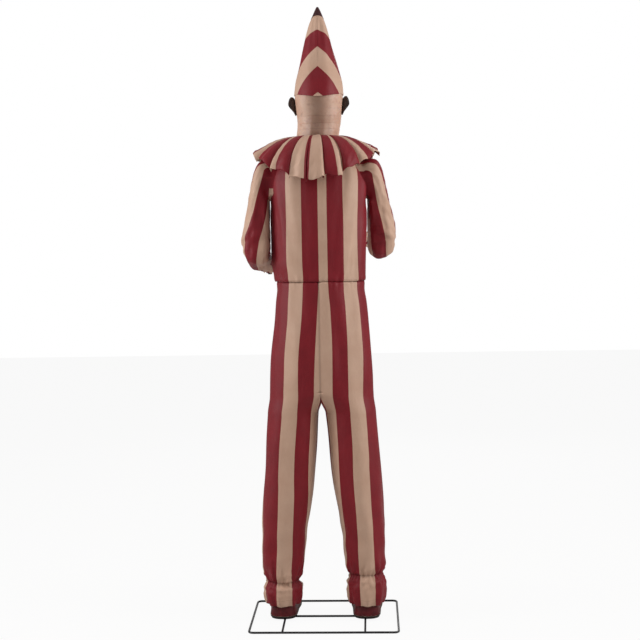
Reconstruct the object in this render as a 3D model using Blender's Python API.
"""Towering animatronic clown in a striped jumpsuit on a rod base. Metres, +Z up, facing -Y."""

import math

import bmesh
import bpy
from mathutils import Matrix, Vector

for leftover in list(bpy.data.objects):
    bpy.data.objects.remove(leftover, do_unlink=True)

# Overall clearances and walls
FIT = 0.0003
CLOTH = 0.003
SHELL = 0.0025
CLOTH_FIT = 0.0008

# Rod base
BASE_WIDTH = 0.741
BASE_DEPTH = 0.519
ROD = 0.010
BASE_CORNER = 0.022
FOOT_BAR_X = 0.202

# Leg, hip and spine frame
SOCKET_HEIGHT = 0.060
SOCKET_WALL = 0.002
POLE_RADIUS = 0.0127
POLE_WALL = 0.0015
LEG_SPLIT_Z = 0.640
LEG_OVERLAP = 0.060
HIP_Z = 1.250
HIP_HALF_SPAN = 0.118
YOKE_BAR = 0.030
YOKE_SPIGOT = 0.050
SPINE_RADIUS = 0.016
SPINE_WALL = 0.002
SCREW_HEAD_RADIUS = 0.006
SCREW_HEAD_HEIGHT = 0.004

# Shoulders and arms
SHOULDER_Z = 2.235
SHOULDER_BAR = 0.030
BRACKET_X = 0.2440
LUG_THICKNESS = 0.006
LUG_RADIUS = 0.016
ARM_TUBE_RADIUS = 0.011
FOREARM_TUBE_RADIUS = 0.010
FOREARM_TUBE_REACH = 0.030
PIVOT_BOLT_RADIUS = 0.004
SHOULDER_PLATE_RADIUS = 0.026
WRIST_RADIUS = 0.024
WRIST_STUB = (0.258, 0.303)
UPPER_ARM_LENGTH = 0.400
FOREARM_LENGTH = 0.300
ARM_TOP_X = 0.262
ELBOW_X = 0.312
WRIST_X = 0.262
SWING_LEFT = -3.0
SWING_RIGHT = 26.0
DROP_LEFT = 9.0
DROP_RIGHT = 21.0

# Hands: palm sections are (distance, half width, half height), fingers (across, length, radius)
PALM_SECTIONS = ((-0.004, 0.026, 0.022), (0.022, 0.029, 0.021), (0.060, 0.043, 0.019),
                 (0.088, 0.043, 0.016), (0.102, 0.034, 0.010))
PALM_LENGTH = 0.100
PALM_CURL = -20.0
FINGERS = ((-0.030, 0.088, 0.0085), (-0.010, 0.094, 0.0088), (0.010, 0.088, 0.0085),
           (0.029, 0.072, 0.0078))
FINGER_CURL = 16.0
THUMB_PATH = ((-0.024, -0.030, -0.004), (-0.050, -0.056, -0.012), (-0.062, -0.082, -0.022),
              (-0.066, -0.102, -0.036))
THUMB_RADIUS = 0.0095
NAIL_LENGTH = 0.018

# Costume
WAIST_Z = 1.704
NECK_HOLE_Z = 2.335
ARMHOLE_RADIUS = 0.040
SLEEVE_INNER_X = 0.2385
ELBOW_SKIRT_RADIUS = 0.0715
ELBOW_BALL_RADIUS = 0.065
FOREARM_SLEEVE_RADIUS = 0.062
SLEEVE_BELLY_END = 0.245
CUFF_RADIUS = WRIST_RADIUS + CLOTH + CLOTH_FIT
CUFF_FRILL = 0.049
CROTCH_Z = 1.105
CROTCH_END_Z = 1.165
HEM_Z = 0.078
ANKLE_Z = 0.205
SLEEVE_COLUMNS = 16
BODY_COLUMNS = 28
SEAT_COLUMNS = 10
INSEAM_COLUMNS = 8

# Neck ruff
RUFF_PLEATS = 14
RUFF_STEPS = 4
RUFF_BAND_RADIUS = 0.1085
RUFF_TOP_Z = 2.412
RUFF_SIDE_REACH = 0.316
RUFF_SIDE_Z = 2.345
RUFF_BACK_REACH = 0.238
RUFF_BACK_Z = 2.196
RUFF_PLEAT_DEPTH = 0.015

# Head
NECK_RADIUS = 0.1035
NECK_BOTTOM_Z = 2.362
CROWN_Z = 2.745
HEAD_COLUMNS = 24
EYE_X = 0.038
EYE_Z = 2.602
EYE_RADIUS = 0.017
EYE_HOLE_RADIUS = 0.0135
NOSE_RADIUS = 0.019
NOSE_Z = 2.562
EAR_BOTTOM_Z = 2.534
EAR_TOP_Z = 2.620
EAR_REACH = 0.026

# Hat
HAT_HEM_Z = 2.624
HAT_HEM_DROP = 0.016
HAT_SEAT_Z = 2.640
HAT_TIP_JOINT_Z = 3.002
HAT_TOP_Z = 3.048
HAT_TIP_RADIUS = 0.0225
HAT_OVAL_HEIGHT = 0.150

# Head drive
NECK_PLATE_Z = 2.300
NECK_PLATE_RADIUS = 0.094
NECK_PLATE_THICKNESS = 0.006
NECK_POST_RADIUS = 0.010
NECK_POST_SIDES = 24
NECK_POST_TOP = 2.460
NECK_MODULE = 0.0036
NECK_GEAR_TEETH = 30
NECK_PINION_TEETH = 10
NECK_GEAR_Z = 2.314
GEAR_THICKNESS = 0.008
GEAR_HUB_RISE = 0.006
NECK_SHAFT_RADIUS = 0.0035
SKULL_SLEEVE_RADIUS = 0.016
NECK_MOTOR_RADIUS = 0.0185
NECK_MOTOR_LENGTH = 0.062

# Jaw drive
JAW_Y = -0.010
JAW_Z = 2.545
JAW_RADIUS = 0.137
JAW_WALL = 0.003
JAW_HALF_WIDTH = 0.044
JAW_ARM_X = 0.056
JAW_ARM_REACH = 0.110
JAW_ARM_THICKNESS = 0.006
JAW_LIP_ANGLE = 14.0
JAW_CHIN_ANGLE = 62.0
JAW_MODULE = 0.0015
JAW_GEAR_TEETH = 40
JAW_PINION_TEETH = 10
JAW_PIN_RADIUS = 0.003
JAW_LUG_GAP = 0.0027
JAW_MOTOR_LENGTH = 0.046
SKULL_PLATE_Z = 2.5265
SKULL_PLATE_THICKNESS = 0.006
SKULL_TONGUE = 0.053
EYE_WALL_Y = -0.078
EYE_WALL_THICKNESS = 0.005

# Shoes
SHOE_HALF_WIDTH = 0.0735
SHOE_HEEL_Y = 0.072
SHOE_TOE_Y = -0.290
SOLE_THICKNESS = 0.014
SHOE_TOP_Z = 0.105
SHOE_WALL = 0.004
FOOT_X = 0.210
SHOE_STATIONS = (SHOE_HEEL_Y, SHOE_HEEL_Y - 0.020, 0.020, -0.060, -0.150, SHOE_TOE_Y + 0.060,
                 SHOE_TOE_Y + 0.018, SHOE_TOE_Y)

# Control box
BOX_WIDTH = 0.130
BOX_DEPTH = 0.052
BOX_HEIGHT = 0.170
BOX_Z = 1.400
BOX_WALL = 0.003
BUTTON_RADIUS = 0.009
KNOB_RADIUS = 0.011
SPEAKER_RADIUS = 0.034
SWITCH_TRAVEL = 0.008
SWITCH_X = -0.038
SWITCH_Z = BOX_Z + BOX_HEIGHT * 0.80
BUTTON_X = 0.0
KNOB_X = 0.038
SWITCH_SLOT = (0.018, 0.006)
SPEAKER_Z = BOX_Z + 0.052

# Chest form
CHEST_LEVELS = (1.800, 1.905, 2.110)
RIB_THICKNESS = 0.008

# Torso and jumpsuit sizes, read by height
TORSO_HALF_WIDTH = [(1.580, 0.229), (1.666, 0.222), (1.704, 0.226), (1.786, 0.229), (1.905, 0.232),
                    (2.083, 0.236), (2.180, 0.2378), (2.235, 0.225), (2.275, 0.195), (2.310, 0.150),
                    (2.335, 0.116)]
TORSO_HALF_DEPTH = [(1.580, 0.158), (1.666, 0.150), (1.704, 0.150), (1.905, 0.156), (2.083, 0.152),
                    (2.180, 0.140), (2.275, 0.120), (2.335, 0.116)]
HIP_HALF_WIDTH = [(1.130, 0.262), (1.307, 0.252), (1.487, 0.238), (1.607, 0.230), (1.666, 0.223),
                  (1.704, 0.226)]
HIP_HALF_DEPTH = [(1.130, 0.155), (1.307, 0.163), (1.487, 0.160), (1.704, 0.150)]
LEG_CENTRE = [(0.078, 0.212), (0.205, 0.210), (0.395, 0.202), (0.702, 0.171), (1.067, 0.139)]
LEG_HALF_WIDTH = [(0.078, 0.079), (0.148, 0.099), (0.205, 0.084), (0.272, 0.099), (0.395, 0.1085),
                  (0.702, 0.1235), (1.067, 0.127)]
BODICE_LEVELS = (WAIST_Z + CLOTH_FIT, 1.800, 1.905, 2.010, 2.110, 2.180, 2.235, 2.275, 2.310, 2.335)

# Sleeve sizes, read by height above the shoulder
SLEEVE_TOP = 0.065
SLEEVE_OUTER = [(-0.330, ELBOW_X + ELBOW_SKIRT_RADIUS), (-0.210, 0.364), (-0.152, 0.353),
                (-0.093, 0.341), (-0.034, 0.329), (0.025, 0.311), (0.052, 0.297), (SLEEVE_TOP, 0.280)]
SLEEVE_HALF_DEPTH = [(-0.330, ELBOW_SKIRT_RADIUS), (-0.152, 0.071), (-0.034, 0.066), (0.025, 0.052),
                     (0.052, 0.032), (SLEEVE_TOP, 0.015)]

# Head: half width, depth behind and depth in front of the neck's axis, read by height
HEAD_HALF_WIDTH = [(2.362, NECK_RADIUS), (2.440, NECK_RADIUS), (2.500, 0.1065), (2.560, 0.1140),
                   (2.605, 0.1165), (2.640, 0.1150), (2.680, 0.1020), (2.715, 0.0760), (CROWN_Z, 0.0300)]
HEAD_BACK = [(2.362, NECK_RADIUS), (2.440, NECK_RADIUS), (2.520, 0.1120), (2.605, 0.1260),
             (2.640, 0.1240), (2.680, 0.1100), (2.715, 0.0800), (CROWN_Z, 0.0300)]
HEAD_FRONT = [(2.362, NECK_RADIUS), (2.419, 0.1040), (2.438, 0.1240), (2.455, 0.1430), (2.480, 0.1480),
              (2.515, 0.1440), (2.560, 0.1400), (2.605, 0.1340), (2.640, 0.1310), (2.680, 0.1150),
              (2.715, 0.0850), (CROWN_Z, 0.0300)]
HEAD_LEVELS = (NECK_BOTTOM_Z, 2.419, 2.438, 2.455, 2.480, 2.505, 2.545, 2.585, 2.612, HAT_SEAT_Z,
               2.680, 2.715, CROWN_Z)
HAT_RADIUS = [(HAT_SEAT_Z, 0.0), (2.680, 0.1130), (2.729, 0.1005), (2.846, 0.0705), (2.962, 0.0385),
              (HAT_TIP_JOINT_Z, HAT_TIP_RADIUS)]


# Helpers
def turn_x(degrees):
    return Matrix.Rotation(math.radians(degrees), 4, "X")


def finish(name, vertices, faces, material, closed=True):
    """Make a named piece from vertices and faces, with its material."""
    mesh = bpy.data.meshes.new(name)
    mesh.from_pydata([tuple(v) for v in vertices], [], faces)
    work = bmesh.new()
    work.from_mesh(mesh)
    if closed:
        bmesh.ops.recalc_face_normals(work, faces=work.faces)
    work.to_mesh(mesh)
    work.free()
    mesh.materials.append(material)
    piece = bpy.data.objects.new(name, mesh)
    bpy.context.scene.collection.objects.link(piece)
    return piece


def smooth(piece, degrees=40):
    piece.data.shade_smooth()
    piece.data.set_sharp_from_angle(angle=math.radians(degrees))
    return piece


def grid_faces(rows, columns, around=True, offset=0):
    """Faces of a grid whose rows run upwards and whose columns run anticlockwise."""
    faces = []
    last = columns if around else columns - 1
    for row in range(rows - 1):
        for column in range(last):
            after = (column + 1) % columns
            low = offset + row * columns
            high = low + columns
            faces.append((low + column, low + after, high + after, high + column))
    return faces


def loft(name, rings, material, capped=True):
    """A closed solid through rings of equal length, or an open skin when it isn't capped."""
    columns = len(rings[0])
    vertices = [point for ring in rings for point in ring]
    faces = grid_faces(len(rings), columns)
    if capped:
        faces.append(tuple(range(columns - 1, -1, -1)))
        faces.append(tuple(len(vertices) - columns + i for i in range(columns)))
    return finish(name, vertices, faces, material, closed=capped)


def add_wall(piece, thickness):
    """Turn an open skin into a closed wall that grows inwards."""
    wall = piece.modifiers.new("wall", "SOLIDIFY")
    wall.thickness = thickness
    wall.offset = -1.0
    wall.use_even_offset = False
    return piece


def circle(radius, sides, turn=0.0):
    step = math.tau / sides
    return [(radius * math.cos(turn + i * step), radius * math.sin(turn + i * step)) for i in range(sides)]


def frame_along(start, end):
    """A matrix that puts the origin at start and +Z towards end."""
    direction = (Vector(end) - Vector(start)).normalized()
    turn = direction.to_track_quat("Z", "Y").to_matrix().to_4x4()
    return Matrix.Translation(Vector(start)) @ turn


def turned(name, profile, material, place=None, sides=12, ring_shaped=True):
    """Revolve (radius, height) points about +Z, then place the result.

    A ring-shaped profile is a closed loop off the axis; any other starts and ends in flat caps.
    """
    rings = [[Vector((x, y, height)) for x, y in circle(radius, sides, math.pi / sides)]
             for radius, height in profile]
    if place is not None:
        rings = [[place @ point for point in ring] for ring in rings]
    if not ring_shaped:
        return loft(name, rings, material)
    vertices = [point for ring in rings for point in ring]
    faces = grid_faces(len(rings) + 1, sides)
    count = len(vertices)
    faces = [tuple(index % count for index in face) for face in faces]
    return finish(name, vertices, faces, material)


def tube(name, start, end, radius, wall, material, sides=12):
    length = (Vector(end) - Vector(start)).length
    profile = [(radius, 0), (radius, length), (radius - wall, length), (radius - wall, 0)]
    return turned(name, profile, material, frame_along(start, end), sides)


def rod(name, start, end, radius, material, sides=12):
    length = (Vector(end) - Vector(start)).length
    return turned(name, [(radius, 0), (radius, length)], material, frame_along(start, end), sides, False)


def block(name, low, high, material):
    (x0, y0, z0), (x1, y1, z1) = low, high
    rings = [[Vector((x0, y0, z)), Vector((x1, y0, z)), Vector((x1, y1, z)), Vector((x0, y1, z))]
             for z in (z0, z1)]
    return loft(name, rings, material)


def prism(name, outline, start, end, material, axis="Z"):
    """Extrude a flat outline from start to end along one axis."""
    def at(a, b, level):
        if axis == "X":
            return Vector((level, a, b))
        if axis == "Y":
            return Vector((a, level, b))
        return Vector((a, b, level))
    rings = [[at(a, b, level) for a, b in outline] for level in (start, end)]
    return loft(name, rings, material)


def move(piece, matrix):
    piece.data.transform(matrix)
    return piece


def mirrored(piece):
    """Reflect a piece built on the clown's left over to the right."""
    piece.data.transform(Matrix.Scale(-1, 4, (1, 0, 0)))
    piece.data.flip_normals()
    return piece


def join_solid(piece, others):
    """Fuse other solids into a piece, leaving one body."""
    for other in others:
        combine(piece, other, "UNION")
    return piece


def cut(piece, cutters):
    for cutter in cutters:
        combine(piece, cutter, "DIFFERENCE")
    return piece


def combine(piece, tool, operation):
    tool.hide_render = True
    tool.display_type = "WIRE"
    boolean = piece.modifiers.new(operation.lower(), "BOOLEAN")
    boolean.operation = operation
    boolean.solver = "EXACT"
    boolean.object = tool
    return boolean


def joint_empty(name, location):
    empty = bpy.data.objects.new(name, None)
    empty.location = location
    bpy.context.scene.collection.objects.link(empty)
    return empty


def hang_on(pieces, empty):
    """Parent pieces to the empty on their joint's axis, keeping them where they are."""
    for piece in pieces:
        piece.parent = empty
        piece.location = -Vector(empty.location)


def make_material(name, hex_colour, roughness, metallic=0.0):
    channels = [int(hex_colour[i:i + 2], 16) / 255 for i in (1, 3, 5)]
    linear = [c / 12.92 if c <= 0.04045 else ((c + 0.055) / 1.055) ** 2.4 for c in channels]
    material = bpy.data.materials.new(name)
    material.use_nodes = True
    shader = material.node_tree.nodes["Principled BSDF"]
    shader.inputs["Base Color"].default_value = (*linear, 1)
    shader.inputs["Roughness"].default_value = roughness
    shader.inputs["Metallic"].default_value = metallic
    return material


def interpolate(knots, value):
    """Read a piecewise-linear size from (position, size) knots in rising order."""
    if value <= knots[0][0]:
        return knots[0][1]
    for (low, a), (high, b) in zip(knots, knots[1:]):
        if value <= high:
            return a + (b - a) * (value - low) / (high - low)
    return knots[-1][1]


black_steel = make_material("black_steel", "#1b1b1c", 0.5, 0.6)
zinc_steel = make_material("zinc_steel", "#a9abad", 0.35, 1.0)
striped_cloth = make_material("striped_cloth", "#a5685f", 0.9)
red_cloth = make_material("red_cloth", "#3a0e12", 0.9)
flesh_latex = make_material("flesh_latex", "#c9a48c", 0.55)
ear_latex = make_material("ear_latex", "#3a2f2a", 0.6)
shoe_leather = make_material("shoe_leather", "#4a1517", 0.4)
sole_rubber = make_material("sole_rubber", "#211a19", 0.8)
frame_plastic = make_material("frame_plastic", "#2b2c2e", 0.6)
box_plastic = make_material("box_plastic", "#1d1e20", 0.5)
gear_plastic = make_material("gear_plastic", "#e4e0d2", 0.45)
button_plastic = make_material("button_plastic", "#b3262a", 0.4)
eye_plastic = make_material("eye_plastic", "#efe9da", 0.15)
nose_plastic = make_material("nose_plastic", "#a81f26", 0.35)
board_green = make_material("board_green", "#2b5a3a", 0.5)
chest_plastic = make_material("chest_plastic", "#3b3c3f", 0.6)


# Rod base
def rod_section():
    """Eight-sided rod outline with a flat facet underneath, as (sideways, up) offsets."""
    corner_radius = ROD / 2 / math.cos(math.pi / 8)
    return circle(corner_radius, 8, math.pi / 8)


def base_path(half_width, half_depth, corner):
    points = []
    centres = [(1, -1, -90), (1, 1, 0), (-1, 1, 90), (-1, -1, 180)]
    for side_x, side_y, start in centres:
        for step in range(5):
            angle = math.radians(start + 90 * step / 4)
            points.append(Vector((side_x * (half_width - corner) + corner * math.cos(angle),
                                  side_y * (half_depth - corner) + corner * math.sin(angle),
                                  ROD / 2)))
    return points


def make_base_ring():
    path = base_path(BASE_WIDTH / 2 - ROD / 2, BASE_DEPTH / 2 - ROD / 2, BASE_CORNER)
    section = rod_section()
    vertices = []
    for index, point in enumerate(path):
        ahead = (path[(index + 1) % len(path)] - path[index - 1]).normalized()
        outward = Vector((ahead.y, -ahead.x, 0))
        vertices += [point + outward * a + Vector((0, 0, b)) for a, b in section]
    count = len(path)
    faces = []
    for row in range(count):
        for column in range(8):
            after = (column + 1) % 8
            following = (row + 1) % count
            faces.append((row * 8 + column, row * 8 + after, following * 8 + after, following * 8 + column))
    return smooth(finish("base_ring", vertices, faces, black_steel), 50)


def make_bar(name, start, end):
    """A straight rod with a flat facet underneath, between two points at rod height."""
    start, end = Vector(start), Vector(end)
    ahead = (end - start).normalized()
    outward = Vector((ahead.y, -ahead.x, 0))
    rings = [[point + outward * a + Vector((0, 0, b)) for a, b in rod_section()] for point in (start, end)]
    return smooth(loft(name, rings, black_steel), 50)


def make_foot_socket(name, side):
    """A short tube welded on the foot bar, which holds the leg pole."""
    foot = leg_point(0.0) + Vector((0, 0, ROD + FIT))
    inner = POLE_RADIUS + FIT
    top = foot.z + SOCKET_HEIGHT
    profile = [(inner + SOCKET_WALL, foot.z), (inner + SOCKET_WALL, top), (inner, top), (inner, foot.z + 0.004),
               (0.0005, foot.z + 0.004), (0.0005, foot.z)]
    piece = turned(name, profile, black_steel, Matrix.Translation((foot.x, foot.y, 0)))
    return piece if side > 0 else mirrored(piece)


def leg_point(z):
    """Centre line of the left leg pole: upright in its socket, then leaning in to the hip."""
    low = ROD + SOCKET_HEIGHT
    share = max(0.0, (z - low) / (HIP_Z - low))
    return Vector((FOOT_BAR_X + (HIP_HALF_SPAN - FOOT_BAR_X) * share, 0, z))


def pole_rings(levels, radius_at):
    rings = []
    for z, kind in levels:
        centre = leg_point(z)
        rings.append([Vector((centre.x + x, centre.y + y, z))
                      for x, y in circle(radius_at(kind), 12, math.pi / 12)])
    return rings


def make_leg_pole(name, levels, side):
    """A steel pole whose levels give height and which wall radius applies there."""
    sizes = {"outer": POLE_RADIUS, "inner": POLE_RADIUS - POLE_WALL,
             "neck": POLE_RADIUS - POLE_WALL - 2 * FIT, "bore": POLE_RADIUS - 2 * POLE_WALL - 2 * FIT}
    rings = pole_rings(levels, sizes.get)
    vertices = [point for ring in rings for point in ring]
    count = len(vertices)
    faces = [tuple(i % count for i in face) for face in grid_faces(len(rings) + 1, 12)]
    piece = smooth(finish(name, vertices, faces, black_steel))
    return piece if side > 0 else mirrored(piece)


def make_legs():
    foot = ROD + FIT + 0.004 + FIT
    top = HIP_Z - YOKE_BAR / 2 - FIT
    bend = ROD + SOCKET_HEIGHT + 0.001
    for side, word in ((1, "left"), (-1, "right")):
        make_foot_socket("leg_socket_" + word, side)
        make_leg_pole("lower_leg_pole_" + word,
                      [(foot, "outer"), (bend, "outer"), (LEG_SPLIT_Z, "outer"), (LEG_SPLIT_Z, "inner"),
                       (bend, "inner"), (foot, "inner")], side)
        neck = LEG_SPLIT_Z - LEG_OVERLAP
        shoulder = LEG_SPLIT_Z + FIT
        make_leg_pole("upper_leg_pole_" + word,
                      [(neck, "neck"), (shoulder, "neck"), (shoulder, "outer"), (top, "outer"),
                       (top, "inner"), (shoulder + 0.004, "bore"), (neck, "bore")], side)


def make_hip_yoke():
    """A square bar with a spigot down into each leg pole and one up into the spine pole."""
    half = YOKE_BAR / 2
    reach = HIP_HALF_SPAN + 0.020
    bar = block("hip_yoke", (-reach, -half, HIP_Z - half), (reach, half, HIP_Z + half), black_steel)
    leg_fit = POLE_RADIUS - POLE_WALL - 2 * FIT
    tools = []
    for side in (1, -1):
        low = leg_point(HIP_Z - half - YOKE_SPIGOT)
        high = leg_point(HIP_Z)
        spigot_rings = [[Vector((centre.x + x, y, centre.z)) for x, y in circle(leg_fit, 12, math.pi / 12)]
                        for centre in (low, high)]
        spigot = loft("yoke_spigot", spigot_rings, black_steel)
        tools.append(spigot if side > 0 else mirrored(spigot))
    spine_fit = SPINE_RADIUS - SPINE_WALL - FIT
    tools.append(rod("yoke_spine_spigot", (0, 0, HIP_Z), (0, 0, HIP_Z + half + YOKE_SPIGOT), spine_fit,
                     black_steel))
    return join_solid(bar, tools)


def make_spine():
    start = HIP_Z + YOKE_BAR / 2 + FIT
    end = SHOULDER_Z - SHOULDER_BAR / 2 - FIT
    return smooth(tube("spine_pole", (0, 0, start), (0, 0, end), SPINE_RADIUS, SPINE_WALL, black_steel))


def make_shoulder_bar():
    """The cross bar on top of the spine, with a spigot below and a bolt plate at each end."""
    half = SHOULDER_BAR / 2
    bar = block("shoulder_bar", (-BRACKET_X + 0.004, -half, SHOULDER_Z - half),
                (BRACKET_X - 0.004, half, SHOULDER_Z + half), black_steel)
    spigot = rod("spine_spigot", (0, 0, SHOULDER_Z - half - YOKE_SPIGOT), (0, 0, SHOULDER_Z),
                 SPINE_RADIUS - SPINE_WALL - FIT, black_steel)
    tools = [spigot]
    for side in (1, -1):
        inner = side * (BRACKET_X - LUG_THICKNESS)
        outer = side * BRACKET_X
        tools.append(rod("shoulder_plate", (inner, 0, SHOULDER_Z), (outer, 0, SHOULDER_Z),
                         SHOULDER_PLATE_RADIUS, black_steel, 16))
        tools.append(rod("shoulder_bolt", (outer - side * 0.002, 0, SHOULDER_Z),
                         (outer + side * (LUG_THICKNESS + 0.006), 0, SHOULDER_Z), PIVOT_BOLT_RADIUS,
                         zinc_steel))
    return join_solid(bar, tools)


def make_clamp_screw(name, side):
    """The hex screw that locks the upper leg pole in the lower one."""
    centre = leg_point(LEG_SPLIT_Z - LEG_OVERLAP / 2)
    seat = Vector((centre.x, -POLE_RADIUS - FIT, centre.z))
    head = rod(name, seat, seat - Vector((0, SCREW_HEAD_HEIGHT, 0)), SCREW_HEAD_RADIUS, zinc_steel, 6)
    return head if side > 0 else mirrored(head)


def make_base():
    make_base_ring()
    reach = BASE_DEPTH / 2 - ROD - FIT
    for side, word in ((1, "left"), (-1, "right")):
        make_bar("base_foot_bar_" + word, (side * FOOT_BAR_X, -reach, ROD / 2),
                 (side * FOOT_BAR_X, reach, ROD / 2))
    cross = FOOT_BAR_X - ROD / 2 - FIT
    make_bar("base_cross_bar", (-cross, 0, ROD / 2), (cross, 0, ROD / 2))


make_base()
make_legs()
make_hip_yoke()
make_spine()
make_shoulder_bar()
for leg_side, leg_word in ((1, "left"), (-1, "right")):
    make_clamp_screw("leg_clamp_screw_" + leg_word, leg_side)


# Jumpsuit body
def torso_ring(z, inset=0.0, columns=BODY_COLUMNS):
    half_width = interpolate(TORSO_HALF_WIDTH, z) - inset
    half_depth = interpolate(TORSO_HALF_DEPTH, z) - inset
    return [Vector((half_width * x, half_depth * y, z)) for x, y in circle(1.0, columns)]


def make_bodice():
    bodice = loft("bodice", [torso_ring(z) for z in BODICE_LEVELS], striped_cloth, capped=False)
    add_wall(bodice, CLOTH)
    holes = [rod("armhole_cutter", (side * 0.150, 0, SHOULDER_Z), (side * 0.300, 0, SHOULDER_Z),
                 ARMHOLE_RADIUS, striped_cloth, 16) for side in (1, -1)]
    return smooth(cut(bodice, holes), 60)


def leg_ring(z, fold):
    """Left trouser leg outline, from the back round the outside, the front and the inseam."""
    centre = interpolate(LEG_CENTRE, z)
    half_width = interpolate(LEG_HALF_WIDTH, z)
    half_depth = half_width * 1.04
    points = []
    for column in range(SEAT_COLUMNS + INSEAM_COLUMNS):
        angle = seat_angle(column)
        reach = 1 + (fold if column % 2 else -fold) / half_width
        points.append(Vector((centre + half_width * reach * math.cos(angle),
                              half_depth * reach * math.sin(angle), z)))
    return points


def seat_angle(column):
    """Angle of a trouser column, +90 degrees at the back seam and -90 at the front seam."""
    if column <= SEAT_COLUMNS:
        return math.pi / 2 - math.pi * column / SEAT_COLUMNS
    return -math.pi / 2 - math.pi * (column - SEAT_COLUMNS) / INSEAM_COLUMNS


def seat_row(z, ripple):
    """Left half of a trouser row above the crotch, from the back seam to the front seam."""
    half_width = interpolate(HIP_HALF_WIDTH, z)
    half_depth = interpolate(HIP_HALF_DEPTH, z)
    row = []
    for column in range(SEAT_COLUMNS + 1):
        angle = seat_angle(column)
        swell = 1 + (ripple if column % 2 else 0) / half_width
        x = 0.0 if column in (0, SEAT_COLUMNS) else half_width * swell * math.cos(angle)
        row.append(Vector((x, half_depth * swell * math.sin(angle), z)))
    return row


def crotch_row():
    """The row where the seat parts into legs: its inseam points lie on the crotch curve."""
    row = seat_row(CROTCH_END_Z, 0.0)
    for point in row:
        point.z -= 0.030 * abs(point.x) / interpolate(HIP_HALF_WIDTH, CROTCH_END_Z)
    depth = interpolate(HIP_HALF_DEPTH, CROTCH_END_Z)
    for step in range(1, INSEAM_COLUMNS):
        sweep = math.pi * step / INSEAM_COLUMNS
        y = -depth * math.cos(sweep)
        z = CROTCH_END_Z - (CROTCH_END_Z - CROTCH_Z) * math.sin(sweep)
        row.append(Vector((0, y, z)))
    return row


def make_trousers():
    columns = SEAT_COLUMNS + INSEAM_COLUMNS
    leg_levels = ((HEM_Z, 0.003), (0.110, 0.003), (0.150, 0.003), (ANKLE_Z, 0.004), (0.250, 0.004),
                  (0.320, 0.0035), (0.450, 0.002), (0.702, 0.001), (1.040, 0.0))
    vertices = []
    for z, fold in leg_levels:
        vertices += leg_ring(z, fold)
    vertices += crotch_row()
    faces = []
    for row in range(len(leg_levels)):
        for column in range(columns):
            after = (column + 1) % columns
            low, high = row * columns, (row + 1) * columns
            faces.append((low + column, high + column, high + after, low + after))
    seat_start = len(vertices)
    seat_levels = ((1.300, 0.0), (1.440, 0.001), (1.580, 0.002), (WAIST_Z, 0.0))
    for z, ripple in seat_levels:
        vertices += seat_row(z, ripple)
    below = seat_start - columns
    width = SEAT_COLUMNS + 1
    for row in range(len(seat_levels)):
        high = seat_start + row * width
        for column in range(SEAT_COLUMNS):
            faces.append((below + column, high + column, high + column + 1, below + column + 1))
        below = high
    trousers = finish("trousers", vertices, faces, striped_cloth, closed=False)
    sew_halves(trousers)
    return smooth(add_wall(trousers, CLOTH), 60)


def sew_halves(piece):
    """Add the mirrored half and merge the two along the centre seam."""
    mesh = piece.data
    work = bmesh.new()
    work.from_mesh(mesh)
    copied = bmesh.ops.duplicate(work, geom=work.verts[:] + work.edges[:] + work.faces[:])
    half = [item for item in copied["geom"] if isinstance(item, bmesh.types.BMVert)]
    for vertex in half:
        vertex.co.x *= -1
    flipped = [item for item in copied["geom"] if isinstance(item, bmesh.types.BMFace)]
    bmesh.ops.reverse_faces(work, faces=flipped)
    bmesh.ops.remove_doubles(work, verts=work.verts[:], dist=0.00005)
    work.to_mesh(mesh)
    work.free()


# Neck ruff
def make_ruff():
    """A pleated strip of cloth gathered into a neckband: it stands out over the shoulders
    and falls lower at the back and the front."""
    columns = RUFF_PLEATS * RUFF_STEPS
    shares = (0.0, 0.22, 0.48, 0.75, 1.0)
    neck = interpolate(TORSO_HALF_WIDTH, NECK_HOLE_Z)
    rings = [[Vector((x, y, NECK_HOLE_Z + FIT)) for x, y in circle(neck, columns)]]
    for share in shares:
        ring = []
        for column in range(columns):
            angle = math.tau * column / columns
            back = math.sin(angle) ** 2
            reach = RUFF_SIDE_REACH + (RUFF_BACK_REACH - RUFF_SIDE_REACH) * back
            edge_z = RUFF_SIDE_Z + (RUFF_BACK_Z - RUFF_SIDE_Z) * back
            out = 1 - (1 - share) ** (1.0 + 0.6 * back)
            radius = RUFF_BAND_RADIUS + CLOTH + (reach - RUFF_BAND_RADIUS - CLOTH) * out
            height = RUFF_TOP_Z + (edge_z - RUFF_TOP_Z) * share ** 1.7
            pleat = math.sin(angle * RUFF_PLEATS)
            depth = RUFF_PLEAT_DEPTH * share ** 0.8 * pleat
            radius += 0.5 * depth * back
            ring.append(Vector((radius * math.cos(angle), radius * math.sin(angle),
                                height + depth * (1 - 0.5 * back))))
        rings.append(ring)
    ruff = loft("neck_ruff", rings, striped_cloth, capped=False)
    return smooth(add_wall(ruff, CLOTH), 60)


# Arms
def arm_frame(swing):
    """Upper-arm frame: origin at shoulder height, the arm hanging along -Z, swung forwards."""
    return Matrix.Translation((0, 0, SHOULDER_Z)) @ turn_x(-swing)


def forearm_frame(swing, drop):
    """Forearm frame: origin at the elbow's height, the forearm along -Y."""
    return arm_frame(swing) @ Matrix.Translation((0, 0, -UPPER_ARM_LENGTH)) @ turn_x(drop)


def sleeve_ring(z):
    outer = interpolate(SLEEVE_OUTER, z)
    inner = interpolate([(-0.330, ELBOW_X - ELBOW_SKIRT_RADIUS), (-0.250, SLEEVE_INNER_X),
                         (0.025, SLEEVE_INNER_X), (SLEEVE_TOP, 0.250)], z)
    depth = interpolate(SLEEVE_HALF_DEPTH, z)
    centre = (outer + inner) / 2
    return [Vector((centre + (outer - inner) / 2 * x, depth * y, z)) for x, y in circle(1, SLEEVE_COLUMNS)]


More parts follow.
